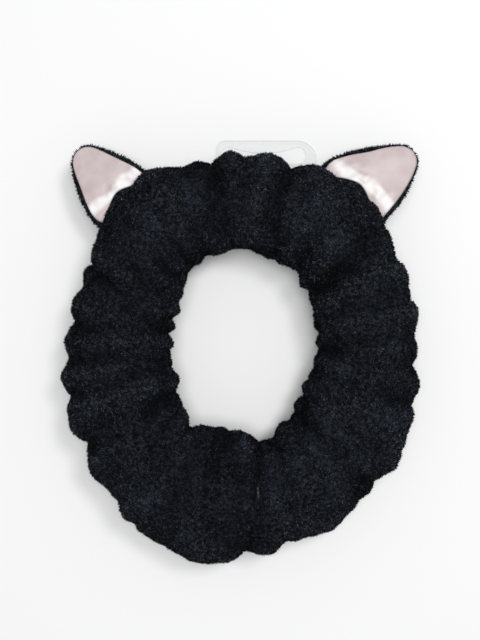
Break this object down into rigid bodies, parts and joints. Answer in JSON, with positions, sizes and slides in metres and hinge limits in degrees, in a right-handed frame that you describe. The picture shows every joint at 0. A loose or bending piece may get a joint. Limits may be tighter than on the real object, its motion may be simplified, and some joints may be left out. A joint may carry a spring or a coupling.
{
  "type": "animal ears headband",
  "caption": "Gathered black plush headband on an elastic loop, with two stuffed satin-fronted cat ears and a clear hang tab.",
  "frame": {"origin": "middle of the bounding box on the table that the headband lies on", "axes": "+Z along the loop's own axis, the way the satin fronts of the ears face; +Y towards the crown and the ears; +X to the right as seen from the front"},
  "size_m": [0.1748, 0.215, 0.05],
  "materials": {
    "plush_cover": "matte",
    "plush_ear": "matte",
    "satin": "satin",
    "edge_thread": "satin",
    "sewing_thread": "satin",
    "elastic": "matte",
    "wadding": "matte",
    "clear_sheet": "gloss",
    "nylon": "satin"
  },
  "bodies": {
    "crown": {"cover_crown": "plush_cover", "crown_seam_thread": "sewing_thread", "elastic_webbing": "elastic", "elastic_join_thread": "sewing_thread", "left_ear_base_thread": "sewing_thread", "right_ear_base_thread": "sewing_thread", "tag_pin": "nylon"},
    "nape": {"cover_nape": "plush_cover", "nape_seam_thread": "sewing_thread", "cross_seam_thread": "sewing_thread"},
    "hang_tab": {"hang_tab": "clear_sheet"},
    "left_ear": {"left_ear_back": "plush_ear", "left_ear_pad": "wadding", "left_ear_front": "satin", "left_ear_edge_thread": "edge_thread"},
    "right_ear": {"right_ear_back": "plush_ear", "right_ear_pad": "wadding", "right_ear_front": "satin", "right_ear_edge_thread": "edge_thread"}
  },
  "joints": [
    {"name": "nape_stretch", "type": "slide", "parent": "crown", "child": "nape", "axis": [0, -1, 0], "range_m": [0, 0.08], "stiffness_N_per_m": 60, "deforming": ["elastic_webbing"]},
    {"name": "left_ear_fold", "type": "hinge", "parent": "crown", "child": "left_ear", "pos_m": [-0.06432, 0.0791, 0.0245], "axis": [0.7145, 0.6997, 0], "range_deg": [-70, 70], "stiffness_Nm_per_rad": 0.02},
    {"name": "right_ear_fold", "type": "hinge", "parent": "crown", "child": "right_ear", "pos_m": [0.05833, 0.08432, 0.0245], "axis": [0.7912, -0.6115, 0], "range_deg": [-70, 70], "stiffness_Nm_per_rad": 0.02},
    {"name": "hang_tab_swing", "type": "hinge", "parent": "crown", "child": "hang_tab", "pos_m": [0.0123, 0.0875, 0.0029], "axis": [1, 0, 0], "range_deg": [-95, 6]}
  ]
}
